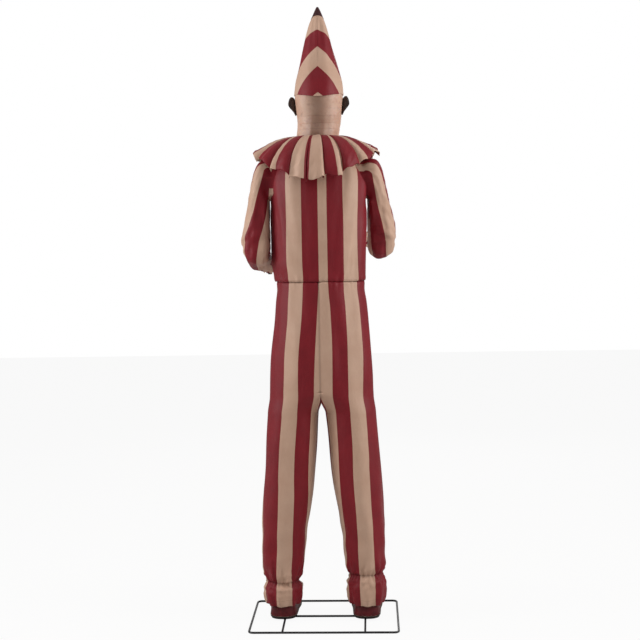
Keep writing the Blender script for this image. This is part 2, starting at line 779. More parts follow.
def skirt_row(share):
    """A row of the sleeve's end, which hoods the elbow: high in front, wrapped under behind."""
    row = []
    radius = ELBOW_SKIRT_RADIUS
    for x, y in circle(1, SLEEVE_COLUMNS):
        end = 0.018 + (0.044 * y if y > 0 else -0.122 * (-y) ** 0.7)
        run = -0.115 + (end + 0.115) * share
        flat = radius if run < 0 else radius * math.cos(run / radius)
        drop = run if run < 0 else radius * math.sin(run / radius)
        row.append(Vector((ELBOW_X + flat * x, flat * y, -UPPER_ARM_LENGTH - drop)))
    return row


def make_upper_sleeve(name, swing):
    rings = [skirt_row(share) for share in (1.0, 0.86, 0.72, 0.35, 0.0)]
    rings += [sleeve_ring(z) for z in (-0.230, -0.152, -0.093, -0.034, 0.000, 0.025, 0.052)]
    vertices = [point for ring in rings for point in ring]
    faces = grid_faces(len(rings), SLEEVE_COLUMNS)
    top = len(vertices) - SLEEVE_COLUMNS
    vertices.append(Vector((0.268, 0, SLEEVE_TOP)))
    faces += [(top + i, top + (i + 1) % SLEEVE_COLUMNS, len(vertices) - 1) for i in range(SLEEVE_COLUMNS)]
    sleeve = move(finish(name, vertices, faces, striped_cloth, closed=False), arm_frame(swing))
    add_wall(sleeve, CLOTH)
    hole = rod("sleeve_hole_cutter", (0.225, 0, SHOULDER_Z), (ARM_TOP_X, 0, SHOULDER_Z),
               SHOULDER_PLATE_RADIUS + CLOTH_FIT, striped_cloth, 16)
    return smooth(sleeve, 60), hole


def forearm_axis():
    """Ends of the forearm tube in the forearm frame."""
    start = Vector((ELBOW_X + LUG_THICKNESS / 2, -0.008, 0))
    end = Vector((WRIST_X, -FOREARM_LENGTH - FOREARM_TUBE_REACH, 0))
    return start, end


def forearm_centre(distance):
    """Sideways place of the forearm tube's middle at a distance in front of the elbow."""
    start, end = forearm_axis()
    share = (-distance - start.y) / (end.y - start.y)
    return start.x + (end.x - start.x) * share


def sleeve_centre(distance):
    """Sideways place of the sleeve's middle: about the elbow pivot first, then along the tube."""
    if distance >= SLEEVE_BELLY_END:
        return forearm_centre(distance)
    return ELBOW_X + (forearm_centre(SLEEVE_BELLY_END) - ELBOW_X) * max(distance, 0.0) / SLEEVE_BELLY_END


def make_lower_sleeve(name, swing, drop):
    """Forearm sleeve: a ball of cloth at the elbow, a loose tube, the elastic and its frill."""
    rings = []
    for degrees in (162, 140, 116, 92, 70):
        angle = math.radians(degrees)
        rings.append((ELBOW_BALL_RADIUS * math.cos(angle), ELBOW_BALL_RADIUS * math.sin(angle)))
    rings += [(0.110, FOREARM_SLEEVE_RADIUS), (0.190, FOREARM_SLEEVE_RADIUS * 0.97),
              (SLEEVE_BELLY_END, FOREARM_SLEEVE_RADIUS * 0.80), (FOREARM_LENGTH - 0.030, CUFF_RADIUS),
              (FOREARM_LENGTH, CUFF_FRILL)]
    vertices = []
    for distance, radius in rings:
        centre = sleeve_centre(distance)
        vertices += [Vector((centre + radius * x, -distance, radius * z)) for x, z in circle(1, SLEEVE_COLUMNS)]
    faces = [tuple(reversed(face)) for face in grid_faces(len(rings), SLEEVE_COLUMNS)]
    vertices.append(Vector((ELBOW_X, ELBOW_BALL_RADIUS, 0)))
    pole = len(vertices) - 1
    faces += [(i, (i + 1) % SLEEVE_COLUMNS, pole) for i in range(SLEEVE_COLUMNS)]
    faces = [tuple(reversed(face)) for face in faces]
    place = forearm_frame(swing, drop)
    sleeve = finish(name, vertices, faces, striped_cloth, closed=False)
    outward_normals(sleeve)
    move(sleeve, place)
    add_wall(sleeve, CLOTH)
    mouth = move(block("mouth_cutter", (ELBOW_X - 0.028, -0.043, 0.026), (ELBOW_X + 0.028, 0.060, 0.100),
                       striped_cloth), place)
    return smooth(sleeve, 60), mouth


def outward_normals(piece):
    work = bmesh.new()
    work.from_mesh(piece.data)
    bmesh.ops.recalc_face_normals(work, faces=work.faces)
    work.to_mesh(piece.data)
    work.free()


def make_upper_arm(name, swing):
    """Tube with a bolt lug at each end, beside the shoulder plate and the forearm's lug."""
    low_x = BRACKET_X + FIT
    centre = low_x + LUG_THICKNESS / 2
    elbow_lug = ELBOW_X - LUG_THICKNESS - FIT
    tube_top = Vector((centre, 0, 0))
    tube_end = Vector((elbow_lug + LUG_THICKNESS / 2, 0, -UPPER_ARM_LENGTH))
    down = (tube_end - tube_top).normalized()
    arm = rod(name, tube_top + down * 0.010, tube_end - down * 0.010, ARM_TUBE_RADIUS, zinc_steel)
    top_lug = rod("top_lug", (low_x, 0, 0), (low_x + LUG_THICKNESS, 0, 0), LUG_RADIUS, zinc_steel, 16)
    low_lug = rod("low_lug", (elbow_lug, 0, -UPPER_ARM_LENGTH),
                  (elbow_lug + LUG_THICKNESS, 0, -UPPER_ARM_LENGTH), LUG_RADIUS, zinc_steel, 16)
    bolt = rod("elbow_bolt", (elbow_lug + 0.001, 0, -UPPER_ARM_LENGTH),
               (ELBOW_X + LUG_THICKNESS + 0.006, 0, -UPPER_ARM_LENGTH), PIVOT_BOLT_RADIUS, zinc_steel)
    bore = rod("shoulder_bore", (low_x - 0.010, 0, 0), (low_x + 0.030, 0, 0), PIVOT_BOLT_RADIUS + FIT,
               zinc_steel)
    shave = block("lug_shave", (low_x - 0.040, -0.030, -0.050), (low_x, 0.030, 0.030), zinc_steel)
    lug_shave = block("elbow_shave", (ELBOW_X - FIT, -0.030, -UPPER_ARM_LENGTH - 0.030),
                      (ELBOW_X + 0.020, 0.030, -UPPER_ARM_LENGTH + 0.026), zinc_steel)
    pieces = [arm, top_lug, low_lug, bolt, bore, shave, lug_shave]
    for piece in pieces:
        move(piece, arm_frame(swing))
    join_solid(arm, [top_lug, low_lug])
    cut(arm, [bore, shave, lug_shave])
    join_solid(arm, [bolt])
    return arm, pieces[1:]


def make_forearm(name, swing, drop):
    low_x = ELBOW_X
    start, wrist = forearm_axis()
    arm = rod(name, start, wrist, FOREARM_TUBE_RADIUS, zinc_steel)
    lug = rod("forearm_lug", (low_x, 0, 0), (low_x + LUG_THICKNESS, 0, 0), LUG_RADIUS, zinc_steel, 16)
    bore = rod("elbow_bore", (low_x - 0.010, 0, 0), (low_x + 0.020, 0, 0), PIVOT_BOLT_RADIUS + FIT, zinc_steel)
    shave = block("forearm_shave", (low_x - 0.030, -0.028, -0.030), (low_x, 0.030, 0.030), zinc_steel)
    pieces = [arm, lug, bore, shave]
    for piece in pieces:
        move(piece, forearm_frame(swing, drop))
    join_solid(arm, [lug])
    cut(arm, [bore, shave])
    return arm, pieces[1:]


def finger_path(across, length):
    """Three joints of a relaxed finger, curling down from the palm's end."""
    points = [Vector((across, -PALM_LENGTH + 0.014, -0.006))]
    heading = math.radians(12)
    spread = across * 0.12
    for share in (0.46, 0.30, 0.24):
        step = length * share
        ahead = Vector((spread * share, -step * math.cos(heading), -step * math.sin(heading)))
        points.append(points[-1] + ahead)
        heading += math.radians(FINGER_CURL)
    return points


def swept(name, points, radii, sides, material):
    """A tapered solid along a path, round in section and flat at both ends."""
    rings = []
    for index, point in enumerate(points):
        before = points[max(index - 1, 0)]
        after = points[min(index + 1, len(points) - 1)]
        place = frame_along(point, point + (after - before))
        rings.append([place @ Vector((x, y, 0)) for x, y in circle(radii[index], sides)])
    return loft(name, rings, material)


def make_hand(name, swing, drop):
    """A relaxed moulded hand: wrist, palm, thumb and four fingers with long dark nails."""
    elbow = forearm_frame(swing, drop)
    wrist = elbow @ Matrix.Translation((forearm_centre(FOREARM_LENGTH), -FOREARM_LENGTH, 0)) @ turn_x(PALM_CURL)
    palm_rings = []
    for distance, half_width, half_height in PALM_SECTIONS:
        palm_rings.append([Vector((half_width * x, -distance, half_height * z)) for x, z in circle(1, 12)])
    palm = loft(name, palm_rings, flesh_latex)
    paths = [(finger_path(across, length), radius) for across, length, radius in FINGERS]
    paths.append(([Vector(point) for point in THUMB_PATH], THUMB_RADIUS))
    digits = []
    for path, radius in paths:
        ahead = (path[-1] - path[-2]).normalized()
        path += [path[-1] + ahead * NAIL_LENGTH * 0.3, path[-1] + ahead * NAIL_LENGTH]
        radii = [radius * share for share in (1.0, 1.05, 0.95, 0.85, 0.70, 0.30)]
        digits.append(swept("digit", path, radii, 6, flesh_latex))
    for piece in [palm] + digits:
        move(piece, wrist)
    stub_rings = [[Vector((forearm_centre(distance) + x, -distance, z))
                   for x, z in circle(WRIST_RADIUS, SLEEVE_COLUMNS)] for distance in WRIST_STUB]
    stub = move(loft("wrist_stub", stub_rings, flesh_latex), elbow)
    digits.append(stub)
    start, end = forearm_axis()
    ahead = (end - start).normalized()
    bore = move(rod("wrist_bore", end - ahead * 0.080, end + ahead * 2 * FIT, FOREARM_TUBE_RADIUS + FIT,
                    flesh_latex), elbow)
    join_solid(palm, digits)
    cut(palm, [bore])
    return palm, digits + [bore]


def make_arms():
    for side, word, swing, drop in ((1, "left", SWING_LEFT, DROP_LEFT),
                                    (-1, "right", SWING_RIGHT, DROP_RIGHT)):
        upper_sleeve, hole = make_upper_sleeve("upper_sleeve_" + word, swing)
        lower_sleeve, mouth = make_lower_sleeve("lower_sleeve_" + word, swing, drop)
        upper_arm, upper_tools = make_upper_arm("upper_arm_" + word, swing)
        forearm, forearm_tools = make_forearm("forearm_" + word, swing, drop)
        hand, hand_tools = make_hand("hand_" + word, swing, drop)
        everything = [upper_sleeve, hole, lower_sleeve, mouth, upper_arm, forearm, hand]
        everything += upper_tools + forearm_tools + hand_tools
        if side < 0:
            for piece in everything:
                mirrored(piece)
        cut(upper_sleeve, [hole])
        cut(lower_sleeve, [mouth])
        elbow = arm_frame(swing) @ Vector((0, 0, -UPPER_ARM_LENGTH))
        hang_on([upper_sleeve, upper_arm],
                joint_empty("shoulder_axis_" + word, (side * ARM_TOP_X, 0, SHOULDER_Z)))
        hang_on([lower_sleeve, forearm, hand],
                joint_empty("elbow_axis_" + word, (side * ELBOW_X, elbow.y, elbow.z)))


make_bodice()
make_trousers()
make_ruff()
make_arms()


# Head


def head_ring(z, grow=0.0):
    half_width = interpolate(HEAD_HALF_WIDTH, z) + grow
    back = interpolate(HEAD_BACK, z) + grow
    front = interpolate(HEAD_FRONT, z) + grow
    return [Vector((half_width * x, (back if y > 0 else front) * y, z)) for x, y in circle(1, HEAD_COLUMNS)]


def make_head_shell():
    """Hollow head and neck, with eye holes and a window for the mouth drum."""
    rings = [head_ring(z) for z in HEAD_LEVELS]
    vertices = [point for ring in rings for point in ring]
    faces = grid_faces(len(rings), HEAD_COLUMNS)
    top = len(vertices) - HEAD_COLUMNS
    faces.append(tuple(top + i for i in range(HEAD_COLUMNS)))
    shell = finish("head_shell", vertices, faces, flesh_latex, closed=False)
    add_wall(shell, SHELL)
    cutters = [rod("eye_cutter", (side * EYE_X, -0.160, EYE_Z), (side * EYE_X, -0.090, EYE_Z),
                   EYE_HOLE_RADIUS, flesh_latex, 12) for side in (1, -1)]
    low, high = mouth_window()
    cutters.append(block("mouth_cutter", (-JAW_HALF_WIDTH - 0.002, -0.200, low),
                         (JAW_HALF_WIDTH + 0.002, -0.060, high), flesh_latex))
    return smooth(cut(shell, cutters), 50)


def mouth_window():
    """Heights of the mouth window: from the chin up to the upper lip."""
    high = JAW_Z - JAW_RADIUS * math.sin(math.radians(JAW_LIP_ANGLE)) + 0.003
    return HEAD_LEVELS[2] + 0.016, high


def jaw_point(radius, degrees):
    """A point (y, z) about the jaw's pins, degrees below straight ahead."""
    angle = math.radians(degrees)
    return JAW_Y - radius * math.cos(angle), JAW_Z - radius * math.sin(angle)


def make_jaw():
    """Lower lip and chin as part of a drum about the jaw pins, with two side arms.

    The left arm carries the gear teeth behind its pin.
    """
    steps = 6
    sweep = [JAW_LIP_ANGLE + (JAW_CHIN_ANGLE - JAW_LIP_ANGLE) * i / steps for i in range(steps + 1)]
    outer = [jaw_point(JAW_RADIUS, angle) for angle in sweep]
    inner = [jaw_point(JAW_RADIUS - JAW_WALL, angle) for angle in reversed(sweep)]
    lip = JAW_ARM_X + JAW_ARM_THICKNESS
    drum = prism("jaw", outer + inner, -JAW_HALF_WIDTH, JAW_HALF_WIDTH, flesh_latex, "X")
    tools = []
    for side in (1, -1):
        arm = [jaw_point(JAW_ARM_REACH, 36), jaw_point(JAW_ARM_REACH, 50), jaw_point(0.011, 120),
               jaw_point(0.012, 200), jaw_point(0.012, 290)]
        near, far = side * JAW_ARM_X, side * lip
        tools.append(prism("jaw_arm", arm, min(near, far), max(near, far), flesh_latex, "X"))
        web = JAW_RADIUS - JAW_WALL * 0.8
        shelf = JAW_ARM_REACH - 0.010
        bridge = [jaw_point(web, 39), jaw_point(web, 47), jaw_point(shelf, 47), jaw_point(shelf, 39)]
        near, far = side * (JAW_HALF_WIDTH - 0.0045), side * (JAW_ARM_X + 0.0015)
        tools.append(prism("jaw_bridge", bridge, min(near, far), max(near, far), flesh_latex, "X"))
    teeth = gear_outline(JAW_MODULE, JAW_GEAR_TEETH, range(-4, 5), 0.0)
    fan = [(JAW_Y + a, JAW_Z + b) for a, b in teeth]
    tools.append(prism("jaw_teeth", fan, JAW_ARM_X + FIT, lip - FIT, flesh_latex, "X"))
    join_solid(drum, tools)
    bore = rod("jaw_bore", (-0.100, JAW_Y, JAW_Z), (0.100, JAW_Y, JAW_Z), JAW_PIN_RADIUS + FIT, flesh_latex)
    cut(drum, [bore])
    hang_on([drum], joint_empty("jaw_axis", (0, JAW_Y, JAW_Z)))
    return drum


# Gears
def involute(base, radius):
    """Angle that an involute flank has turned through at a radius."""
    ratio = max(radius / base, 1.0)
    across = math.sqrt(ratio * ratio - 1)
    return across - math.atan(across)


def gear_outline(module, count, teeth, bearing, backlash=0.00025):
    """Outline of a gear about the origin, with teeth only at the wanted places.

    Tooth 0 points along bearing. Elsewhere the rim follows the root circle.
    """
    pitch = module * count / 2
    base = pitch * math.cos(math.radians(25))
    tip = pitch + 0.8 * module
    root = pitch - 1.1 * module
    half = math.pi / (2 * count) - backlash / (2 * pitch)
    outline = []
    teeth = list(teeth)
    spots = range(teeth[0], teeth[0] + count)
    for index in spots:
        centre = bearing + math.tau * index / count
        if index not in teeth:
            if (index - teeth[0]) % 3 == 0:
                outline.append((root * math.cos(centre), root * math.sin(centre)))
            continue
        flank = []
        for radius in (max(root, base), tip):
            lean = half + involute(base, pitch) - involute(base, radius)
            flank.append((radius, lean))
        if root < base:
            flank.insert(0, (root, flank[0][1]))
        for radius, lean in flank:
            outline.append((radius * math.cos(centre - lean), radius * math.sin(centre - lean)))
        for radius, lean in reversed(flank):
            outline.append((radius * math.cos(centre + lean), radius * math.sin(centre + lean)))
    return outline


def make_neck_drive():
    """Fixed plate and post, gear motor below, its pinion, and the gear under the head."""
    plate = rod("neck_plate", (0, 0, NECK_PLATE_Z), (0, 0, NECK_PLATE_Z + NECK_PLATE_THICKNESS),
                NECK_PLATE_RADIUS, black_steel, 24)
    post = rod("neck_post", (0, 0, SHOULDER_Z + SHOULDER_BAR / 2 + FIT), (0, 0, NECK_POST_TOP),
               NECK_POST_RADIUS, black_steel, NECK_POST_SIDES)
    join_solid(plate, [post])
    spread = NECK_MODULE * (NECK_GEAR_TEETH + NECK_PINION_TEETH) / 2 + FIT
    hole = rod("shaft_hole", (0, -spread, NECK_PLATE_Z - 0.01), (0, -spread, NECK_PLATE_Z + 0.02),
               NECK_SHAFT_RADIUS + FIT, black_steel)
    cut(plate, [hole])
    top = NECK_PLATE_Z - FIT
    motor = turned("neck_motor", [(0.012, -NECK_MOTOR_LENGTH), (NECK_MOTOR_RADIUS - 0.002, -NECK_MOTOR_LENGTH),
                                  (NECK_MOTOR_RADIUS - 0.002, -0.024), (NECK_MOTOR_RADIUS, -0.024),
                                  (NECK_MOTOR_RADIUS, 0)], zinc_steel, Matrix.Translation((0, -spread, top)),
                   16, False)
    smooth(motor)
    pinion_teeth = gear_outline(NECK_MODULE, NECK_PINION_TEETH, range(NECK_PINION_TEETH),
                                math.pi / 2 + math.pi / NECK_PINION_TEETH)
    pinion = prism("neck_pinion", [(a, b - spread) for a, b in pinion_teeth], NECK_GEAR_Z,
                   NECK_GEAR_Z + GEAR_THICKNESS, gear_plastic)
    shaft = rod("pinion_shaft", (0, -spread, top + FIT), (0, -spread, NECK_GEAR_Z + 0.002), NECK_SHAFT_RADIUS,
                gear_plastic)
    join_solid(pinion, [shaft])
    hang_on([pinion], joint_empty("neck_pinion_axis", (0, -spread, NECK_GEAR_Z)))
    outline = gear_outline(NECK_MODULE, NECK_GEAR_TEETH, range(-5, 6), -math.pi / 2)
    gear = prism("neck_gear", outline, NECK_GEAR_Z, NECK_GEAR_Z + GEAR_THICKNESS, gear_plastic)
    hub = rod("gear_hub", (0, 0, NECK_GEAR_Z - 0.007), (0, 0, NECK_GEAR_Z + GEAR_THICKNESS + GEAR_HUB_RISE),
              SKULL_SLEEVE_RADIUS, gear_plastic)
    join_solid(gear, [hub])
    bore = rod("gear_bore", (0, 0, NECK_GEAR_Z - 0.02), (0, 0, NECK_GEAR_Z + 0.03), NECK_POST_RADIUS + FIT,
               gear_plastic, NECK_POST_SIDES)
    cut(gear, [bore])
    return gear


def make_skull_frame():
    """Sleeve that turns on the neck post, a plate across the head, pin lugs and the eye wall."""
    low = NECK_GEAR_Z + GEAR_THICKNESS + GEAR_HUB_RISE + FIT
    top = SKULL_PLATE_Z + SKULL_PLATE_THICKNESS
    frame = rod("skull_frame", (0, 0, low), (0, 0, top), SKULL_SLEEVE_RADIUS, frame_plastic)
    back = head_ring(SKULL_PLATE_Z, -SHELL - 0.0005)
    wide = [(p.x, p.y) for p in back if p.y > 0.050]
    outline = [(SKULL_TONGUE, EYE_WALL_Y), (SKULL_TONGUE, 0.050)] + wide
    outline += [(-SKULL_TONGUE, 0.050), (-SKULL_TONGUE, EYE_WALL_Y)]
    tools = [prism("skull_plate", outline, SKULL_PLATE_Z, top, frame_plastic)]
    for side in (1, -1):
        near, far = side * 0.0465, side * (JAW_ARM_X - JAW_LUG_GAP)
        lug = [(JAW_Y - 0.008, top - 0.002), (JAW_Y + 0.008, top - 0.002), (JAW_Y + 0.008, JAW_Z + 0.008),
               (JAW_Y - 0.008, JAW_Z + 0.008)]
        tools.append(prism("pin_lug", lug, min(near, far), max(near, far), frame_plastic, "X"))
        pin_end = side * (JAW_ARM_X + JAW_ARM_THICKNESS + 0.002)
        tools.append(rod("jaw_pin", (side * 0.048, JAW_Y, JAW_Z), (pin_end, JAW_Y, JAW_Z), JAW_PIN_RADIUS,
                         frame_plastic))
    tools.append(block("eye_wall", (-SKULL_TONGUE, EYE_WALL_Y, top - 0.002),
                       (SKULL_TONGUE, EYE_WALL_Y + EYE_WALL_THICKNESS, EYE_Z + 0.022), frame_plastic))
    join_solid(frame, tools)
    bore = rod("sleeve_bore", (0, 0, low - 0.01), (0, 0, NECK_POST_TOP + 0.002), NECK_POST_RADIUS + FIT,
               frame_plastic, NECK_POST_SIDES)
    cut(frame, [bore])
    return frame


def make_jaw_drive():
    """The small gear motor on the skull plate and the pinion that lifts the jaw."""
    spread = JAW_MODULE * (JAW_GEAR_TEETH + JAW_PINION_TEETH) / 2 + FIT
    y = JAW_Y + spread
    outline = gear_outline(JAW_MODULE, JAW_PINION_TEETH, range(JAW_PINION_TEETH),
                           math.pi + math.pi / JAW_PINION_TEETH, 0.0002)
    pinion = prism("jaw_pinion", [(y + a, JAW_Z + b) for a, b in outline], JAW_ARM_X,
                   JAW_ARM_X + JAW_ARM_THICKNESS, gear_plastic, "X")
    motor_end = JAW_ARM_X - 0.004
    shaft = rod("jaw_shaft", (motor_end + FIT, y, JAW_Z), (JAW_ARM_X + 0.002, y, JAW_Z), 0.002, gear_plastic)
    join_solid(pinion, [shaft])
    hang_on([pinion], joint_empty("jaw_pinion_axis", (0, y, JAW_Z)))
    plate_top = SKULL_PLATE_Z + SKULL_PLATE_THICKNESS
    motor = rod("jaw_motor", (motor_end - JAW_MOTOR_LENGTH, y, JAW_Z), (motor_end, y, JAW_Z),
                JAW_Z - plate_top - FIT, zinc_steel, 16)
    return smooth(motor), pinion


def make_face_parts():
    pieces = []
    wall_y = EYE_WALL_Y - FIT
    for side, word in ((1, "left"), (-1, "right")):
        across = math.asin(EYE_X / interpolate(HEAD_HALF_WIDTH, EYE_Z))
        front = -interpolate(HEAD_FRONT, EYE_Z) * math.cos(across)
        reach = wall_y - front - 0.006
        profile = [(EYE_RADIUS * 0.5, 0), (EYE_RADIUS, 0.004), (EYE_RADIUS, reach - 0.012)]
        for degrees in (35, 60, 80):
            angle = math.radians(degrees)
            profile.append((EYE_RADIUS * math.cos(angle), reach - 0.012 + 0.010 * math.sin(angle)))
        place = frame_along((side * EYE_X, wall_y, EYE_Z), (side * EYE_X, wall_y - 1, EYE_Z))
        pieces.append(smooth(turned("eye_" + word, profile, eye_plastic, place, 12, False)))
    nose_y = -interpolate(HEAD_FRONT, NOSE_Z - NOSE_RADIUS * 0.45) - FIT
    profile = [(NOSE_RADIUS * 0.45, 0)]
    for degrees in (-40, -10, 20, 50, 75):
        angle = math.radians(degrees)
        profile.append((NOSE_RADIUS * math.cos(angle), NOSE_RADIUS * (0.85 + math.sin(angle))))
    place = frame_along((0, nose_y, NOSE_Z), (0, nose_y - 1, NOSE_Z))
    pieces.append(smooth(turned("nose", profile, nose_plastic, place, 14, False)))
    return pieces


def make_ear(name, side):
    """An ear: a tall oval, thicker at its rim, standing off the side of the head."""
    middle = (EAR_BOTTOM_Z + EAR_TOP_Z) / 2
    half_height = (EAR_TOP_Z - EAR_BOTTOM_Z) / 2
    levels = ((0.0, 0.50), (0.35, 0.78), (0.75, 1.0), (1.0, 0.86))
    rings = []
    for reach, share in levels:
        ring = []
        for y, z in circle(1, 14):
            height = middle + half_height * share * z
            surface = interpolate(HEAD_HALF_WIDTH, height) + FIT + 0.0002
            flare = 0.75 + 0.25 * z
            x = surface + EAR_REACH * reach * flare
            ring.append(Vector((x, 0.012 + 0.022 * share * y * (0.8 + 0.2 * z) + 0.010 * reach, height)))
        rings.append(ring)
    ear = smooth(loft(name, rings, ear_latex), 50)
    return ear if side > 0 else mirrored(ear)


def hat_ring(z):
    """Hat outline: it fits the head at its seat and becomes a round cone above."""
    seat = head_ring(HAT_SEAT_Z, CLOTH + FIT)
    if z <= HAT_SEAT_Z:
        return seat
    radius = interpolate(HAT_RADIUS, z)
    half_width = interpolate(HEAD_HALF_WIDTH, HAT_SEAT_Z) + CLOTH + FIT
    oval = max(0.0, 1 - (z - HAT_SEAT_Z) / HAT_OVAL_HEIGHT)
    ring = []
    for point, (x, y) in zip(seat, circle(1, HEAD_COLUMNS)):
        stretch = 1.0
        if abs(y) > 1e-6:
            stretch += oval * (abs(point.y / (half_width * y)) - 1)
        ring.append(Vector((radius * x, radius * y * stretch, z)))
    return ring


def make_hat():
    """Cone hat as a cloth shell, dipping a little at the back of its hem, with a separate tip."""
    hem = head_ring(HAT_SEAT_Z, CLOTH + FIT + 0.0015)
    for point in hem:
        dip = HAT_HEM_DROP * max(0.0, point.y / interpolate(HEAD_BACK, HAT_SEAT_Z)) ** 2
        point.z = HAT_HEM_Z - dip
        if point.y > 0:
            point.y += 0.0015
    levels = [z for z, _ in HAT_RADIUS]
    rings = [hem] + [hat_ring(z) for z in levels]
    cone = add_wall(loft("hat_cone", rings, striped_cloth, capped=False), CLOTH)
    joint_z = HAT_TIP_JOINT_Z + FIT
    tip = turned("hat_tip", [(HAT_TIP_RADIUS, joint_z), (HAT_TIP_RADIUS * 0.5, (joint_z + HAT_TOP_Z) / 2),
                             (0.002, HAT_TOP_Z)], red_cloth, None, HEAD_COLUMNS // 2, False)
    return smooth(cone, 60), smooth(tip, 60)


def make_head():
    gear = make_neck_drive()
    pieces = [gear, make_head_shell(), make_skull_frame(), make_ear("ear_left", 1), make_ear("ear_right", -1)]
    pieces += make_face_parts()
    pieces += make_hat()
    motor, pinion = make_jaw_drive()
    pieces.append(motor)
    make_jaw()
    hang_on(pieces, joint_empty("head_axis", (0, 0, NECK_GEAR_Z)))


make_head()


# Shoes
def shoe_half_width(y):
    """Half width of the shoe from its rounded heel to its broad toe."""
    return interpolate([(SHOE_TOE_Y, 0.030), (SHOE_TOE_Y + 0.018, 0.058), (SHOE_TOE_Y + 0.060, 0.076),
                        (-0.150, 0.0790), (-0.060, 0.0680), (0.020, SHOE_HALF_WIDTH),
                        (SHOE_HEEL_Y - 0.020, 0.0640), (SHOE_HEEL_Y, 0.034)], y)


def shoe_outline(inset):
    right = [(FOOT_X + shoe_half_width(y) - inset, y) for y in reversed(SHOE_STATIONS)]
    left = [(FOOT_X - shoe_half_width(y) + inset, y) for y in SHOE_STATIONS]
    low, high = SHOE_TOE_Y + inset, SHOE_HEEL_Y - inset
    return [(x, min(max(y, low), high)) for x, y in right + left]


def make_shoe(word, side):
    """A sole, and an upper that rises from a rounded toe to a hollow ankle."""
    bottom = ROD + FIT
    outline = shoe_outline(0.0)
    sole = prism("shoe_sole_" + word, outline, bottom, bottom + SOLE_THICKNESS, sole_rubber)
    foot = leg_point(0.0)
    socket_hole = rod("sole_hole", (foot.x, 0, 0), (foot.x, 0, 0.060), POLE_RADIUS + SOCKET_WALL + 3 * FIT,
                      sole_rubber)
    seat = bottom + SOLE_THICKNESS + FIT
    rings = []
    for height, inset, front in ((seat, 0.002, 0.0), (0.045, 0.0, 0.0), (HEM_Z - 0.016, 0.006, 0.030),
                                 (HEM_Z - 0.006, 0.012, 0.120)):
        low = SHOE_TOE_Y + front
        share = (SHOE_HEEL_Y - low) / (SHOE_HEEL_Y - SHOE_TOE_Y)
        rings.append([Vector((x, low + share * (y - SHOE_TOE_Y), height)) for x, y in shoe_outline(inset)])
    for height, half_width, half_length in ((HEM_Z - 0.0015, 0.058, 0.067), (SHOE_TOP_Z, 0.052, 0.056)):
        step = math.pi / len(SHOE_STATIONS)
        turns = [-math.pi / 2 + (i + 0.5) * step for i in range(2 * len(SHOE_STATIONS))]
        rings.append([Vector((FOOT_X + half_width * math.cos(turn), half_length * math.sin(turn), height))
                      for turn in turns])
    upper = add_wall(loft("shoe_upper_" + word, rings, shoe_leather, capped=False), SHOE_WALL)
    for piece in (sole, socket_hole, upper):
        if side < 0:
            mirrored(piece)
    cut(sole, [socket_hole])
    return smooth(upper, 50)


# Chest form
def chest_ring(z, inset):
    """The chest form's outline (x, y) between two of its levels."""
    for low, high in zip(CHEST_LEVELS, CHEST_LEVELS[1:]):
        if low <= z <= high:
            share = (z - low) / (high - low)
            pairs = zip(torso_ring(low, inset), torso_ring(high, inset))
            return [(a.x + (b.x - a.x) * share, a.y + (b.y - a.y) * share) for a, b in pairs]
    return []


def make_chest_form():
    """Two half shells that fill the bodice, on two rib plates round the spine pole."""
    gap = CLOTH + CLOTH_FIT
    quarter = BODY_COLUMNS // 2
    for word, start in (("back", 0), ("front", quarter)):
        vertices = []
        for inset in (gap, gap + SHELL):
            for z in CHEST_LEVELS:
                ring = torso_ring(z, inset)
                half = [ring[(start + i) % BODY_COLUMNS] for i in range(quarter + 1)]
                shift = FIT if word == "back" else -FIT
                vertices += [Vector((p.x, p.y + shift, p.z)) for p in half]
        width = quarter + 1
        rows = len(CHEST_LEVELS)
        inner = rows * width
        faces = grid_faces(rows, width, around=False)
        faces += [tuple(reversed(face)) for face in grid_faces(rows, width, around=False, offset=inner)]
        for row in range(rows - 1):
            for column in (0, width - 1):
                low, high = row * width + column, (row + 1) * width + column
                faces.append((low, high, inner + high, inner + low))
        for column in range(width - 1):
            for row in (0, rows - 1):
                low = row * width + column
                faces.append((low, low + 1, inner + low + 1, inner + low))
        smooth(finish("chest_form_" + word, vertices, faces, chest_plastic), 50)
    for word, z in (("lower", CHEST_LEVELS[0] + 0.010), ("upper", CHEST_LEVELS[-1] - 0.020)):
        inset = gap + SHELL + 2 * FIT
        pairs = zip(chest_ring(z, inset), chest_ring(z + RIB_THICKNESS, inset))
        outline = [min(pair, key=lambda spot: math.hypot(*spot)) for pair in pairs]
        plate = prism("chest_rib_" + word, outline, z, z + RIB_THICKNESS, chest_plastic)
        bore = rod("rib_bore", (0, 0, z - 0.02), (0, 0, z + 0.03), SPINE_RADIUS + FIT, chest_plastic)
        cut(plate, [bore])


